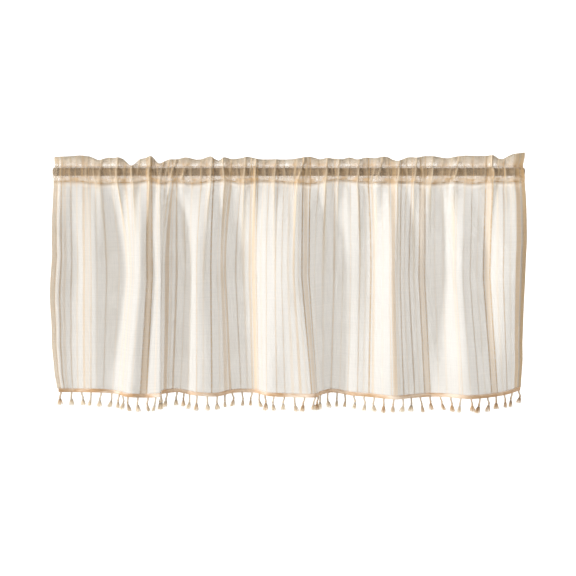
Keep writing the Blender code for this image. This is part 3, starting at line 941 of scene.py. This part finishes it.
# The tape: a flat section with two corded edges, carried along the hem. Section: thickness
# (0.62 + 0.38 bead) with bead = exp(-((h - edge) / 0.13)^2) at h = 0 and 1.
def makeTape(finish):
    run = np.linspace(tape["inset"], hemLine()[1][-1] - tape["inset"], tape["steps"])
    h = np.array([0.0, 0.06, 0.16, 0.32, 0.5, 0.68, 0.84, 0.94, 1.0])
    bead = np.exp(-((h / 0.13) ** 2)) + np.exp(-(((1 - h) / 0.13) ** 2))
    half = tape["thickness"] / 2 * (0.62 + 0.38 * bead)
    half[[0, -1]] *= 0.35
    z = tape["overlap"] - tape["low"] - h * (tape["height"] + tape["overlap"])
    y, z = np.concatenate([-half, half[::-1]]), np.concatenate([z, z[::-1]])
    # The upper part lies in front of the cloth, so the tape leans back to hang under its edge.
    lean = -tape["lean"] * np.clip((z + 0.0015) / 0.0030, 0, 1)
    points = alongHem(run)[:, None] + behindHem(run)[:, None] * (y + lean)[:, None]
    points[:, :, 2] += z
    uv = np.stack(np.broadcast_arrays(run[:, None], z[None, :]), axis=-1).reshape(-1, 2)
    end = np.arange(len(z))
    faces = [*gridFaces(len(run), len(z), closed=True), end[::-1], end + (len(run) - 1) * len(z)]
    return meshPiece("hemTape", points.reshape(-1, 3), faces, finish, uv)


# Zigzag yarns of a flat braid: 0.5 + 0.5 cos(2 pi (u + 0.9 |v - middle|) / braid), with painted
# shade in the grooves between them, and pale and warm in patches of painted light and shade.
def tapeFinish():
    paint = Finish("wovenTape")
    uv, u, v = paint.flatPlace()
    braid = (u + abs(v + 0.0036) * 0.9).wave(tape["braid"])
    litAndShadedPatches = paint.noise(uv, (16, 60, 1), 3.0, 0.6)
    fuzz = paint.noise(uv, (900, 900, 1))
    # Pale and warm in patches: painted light and shade.
    colour = paint.blend(litAndShadedPatches * 4.4 - 1.7, tape["pale"], tape["warm"])
    sockets = {
        # painted shade in the grooves
        "Base Color": paint.blend((1 - braid) * 0.25, colour, tape["grooveShade"]),
        "Roughness": 0.8,
        "Sheen Weight": 0.25,
        "Normal": paint.bump(braid * 0.8 + fuzz * 0.3, 0.7, 0.0005),
    }
    return paint.done(paint.lit(0.35, paint.face(sockets), tape["glowThrough"]))


# Fine fibres of the tassels' yarn, from pale to warm by each thread's tone and painted shade,
# with painted light towards its tip.
def yarnFinish():
    paint = Finish("tasselYarn")
    toneAndPaintedShade, tip = paint.attribute("toneAndShade"), paint.attribute("towardsTip")
    fine = paint.noise(paint.place(), (1500, 1500, 120))
    # Pale to warm by each thread's tone and painted shade.
    colour = paint.blend(toneAndPaintedShade, tassel["pale"], tassel["warm"])
    colour = paint.blend(fine * 0.08, colour, tassel["fleck"])
    sockets = {
        # painted light towards the tip
        "Base Color": paint.blend(tip * 0.45, colour, tassel["tip"]),
        "Roughness": 0.75,
        "Sheen Weight": 0.3,
        "Normal": paint.bump(fine, 0.5, 0.0002),
    }
    return paint.done(paint.lit(0.68 - toneAndPaintedShade * 0.26, paint.face(sockets), tassel["glowThrough"]))


# Strings: two plies wound round a smooth curve through top, knee and tie, core + ply (cos a, sin a)
# with a half turn between the two.
def windStrings(top, knee, tie):
    t = np.linspace(0, 1, tassel["steps"])
    keys = np.stack([top, knee, tie, tie - np.array([0, 0, 0.0012])])
    core = smoothThrough(np.array([0, 0.5, 0.93, 1.0]), keys, t).transpose(1, 0, 2)
    turn = 2 * np.pi * tassel["turns"] * t
    plies = []
    for side in (0, np.pi):
        ring = np.stack([np.cos(turn + side), np.sin(turn + side), 0 * turn], axis=1)
        plies.append(core + ring * tassel["ply"] * 0.95)
    return tubes(np.concatenate(plies), tassel["ply"], tassel["corners"]["string"])


# Heads: r(h) = wide/2 sin(pi (0.10 + 0.80 h))^0.6 with six wound ridges, round the line from tie to
# neck and a little past both.
def windHeads(tie, neck):
    h = np.linspace(0, 1, tassel["steps"])
    radius = tassel["headWide"] / 2 * np.sin(np.pi * (0.10 + 0.80 * h)) ** 0.6
    radius = radius * (1 + 0.07 * np.cos(2 * np.pi * 6 * h))
    centre = tie[:, None] + (neck - tie)[:, None] * (h * 1.15 - 0.05)[None, :, None]
    return tubes(centre, radius, tassel["corners"]["head"])


# Skirts: each thread leaves the neck at a golden-angle place of a disc, rim out from its middle.
# It flares as rim (b + (w/2 - b) s^0.7), leans with its tassel and falls by long s (1 - 0.1 rim s).
def flareThreads(neck, lean, wide, longer, rng):
    count, many = tassel["count"], tassel["threads"]
    k = np.arange(many)
    angle, rim = k * 2.39996, np.sqrt((k + 0.5) / many)
    jitter = rng.normal(0, 1, (count, many, 3)) * np.array([0.00035, 0.00035, 0.0006])
    s, taper = np.transpose(tassel["taper"])
    ring = np.stack([np.cos(angle), np.sin(angle), 0 * angle], axis=1) * rim[:, None]
    flare = 0.0013 + (wide[:, None] / 2 - 0.0013) * s**0.7
    drop = tassel["skirtLong"] * longer[:, None] * s
    paths = neck[:, None, None] + ring[None, :, None] * flare[:, None, :, None]
    leaning = lean[:, None, None] * 1.7 * s[:, None]
    paths = paths + leaning + jitter[:, :, None] * (s**1.5)[:, None]
    paths[..., 2] -= drop[:, None, :] * (1 - 0.10 * rim[None, :, None] * s)
    paths = paths.reshape(-1, len(s), 3)
    return tubes(paths, tassel["thread"] * taper, tassel["corners"]["thread"])


# Tassels at even runs of the tape, swung and spread by the same draws as the solid's:
# low + (high - low) draw.
def makeTassels(finish):
    count, many, steps = tassel["count"], tassel["threads"], tassel["steps"]
    draws = np.random.default_rng(11).random((count, 10))

    def drawn(k, low, high):
        return low + (high - low) * draws[:, k]

    pitch = (hemLine()[1][-1] - 2 * tassel["margin"]) / (count - 1)
    top = alongHem(tassel["margin"] + pitch * np.arange(count))
    top[:, 2] -= tape["low"] + tape["height"] - tassel["sunk"]
    level = 0 * draws[:, 0]
    swing = np.stack([drawn(0, -0.0035, 0.0035), drawn(1, -0.002, 0.002), level], axis=1)
    lean = np.stack([drawn(2, -0.003, 0.003), drawn(3, -0.002, 0.002), level], axis=1)
    string = tassel["stringLong"] * drawn(4, 0.85, 1.15)
    wide, longer = tassel["skirtWide"] * drawn(5, 0.7, 1.3), drawn(6, 0.88, 1.08)
    down = np.array([0, 0, -1.0])
    knee = top + swing * 0.2 + down * string[:, None] * 0.5
    tie = top + swing + down * string[:, None]
    neck = tie + lean * 0.2 + down * tassel["headLong"]
    rng = np.random.default_rng(5)
    strings, heads = windStrings(top, knee, tie), windHeads(tie, neck)
    parts = (strings, heads, flareThreads(neck, lean, wide, longer, rng))
    faces, first = [], 0
    for points, made in parts:
        faces += [face + first for face in made]
        first += len(points)

    # Each tassel's shade, a painted shade deeper towards the right over a tone that differs at
    # random, and each thread's about it. Heads take more of it, as painted shade, and strings less.
    shadeToRight = 0.5 * np.linspace(0, 1, count) ** 1.5
    shade = np.clip(rng.random(count) * 1.1 - 0.35 + shadeToRight, 0, 1)
    threadShade = shade[:, None] * 1.3 - 0.2 + rng.normal(0, 0.3, (count, many))
    corners, along = tassel["corners"], np.transpose(tassel["taper"])[0]
    toneAndPaintedShade = np.concatenate([
        np.tile(shade, 2).repeat(steps * corners["string"]) * 0.4 + 0.1,
        shade.repeat(steps * corners["head"]) * 0.6 + 0.25,
        np.clip(threadShade, 0, 1).repeat(len(along) * corners["thread"]),
    ])
    bare = np.zeros(len(strings[0]) + len(heads[0]))
    tip = np.concatenate([bare, np.tile(along.repeat(corners["thread"]), count * many)])
    points = np.concatenate([points for points, made in parts])
    values = {"toneAndShade": toneAndPaintedShade, "towardsTip": tip}
    return meshPiece("tassels", points, faces, finish, None, values)


hemTape = makeTape(tapeFinish())
tassels = makeTassels(yarnFinish())
for piece in (hemTape, tassels):
    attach(piece, "root")
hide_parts("tassel_trim")
print("tape and tassels made:", len(tassels.data.polygons), "faces")

round(float(sheetRun[-1] - sheetRun[0]), 4)

rodLook = {"brown": chip(76, 58, 30), "worn": chip(56, 42, 22), "drawn": chip(94, 72, 46)}


# Bronzed metal, worn in patches and drawn along its length in fine lines.
def rodFinish():
    paint = Finish("bronzedRod")
    here = paint.place()
    drawn = paint.noise(here, (6, 500, 500), 3.0, 0.6)
    worn = paint.noise(here, 22.0, 4.0, 0.65)
    colour = paint.blend(worn * 1.4 - 0.3, rodLook["brown"], rodLook["worn"])
    sockets = {
        "Base Color": paint.blend(drawn * 0.35, colour, rodLook["drawn"]),
        "Metallic": 0.12,
        "Roughness": drawn * 0.2 + 0.42,
        "Normal": paint.bump(drawn, 0.15, 0.0002),
    }
    return paint.done(paint.face(sockets))


rodPaint = rodFinish()
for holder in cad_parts["rod"].material_slots:
    holder.material = rodPaint
print("rod finished")
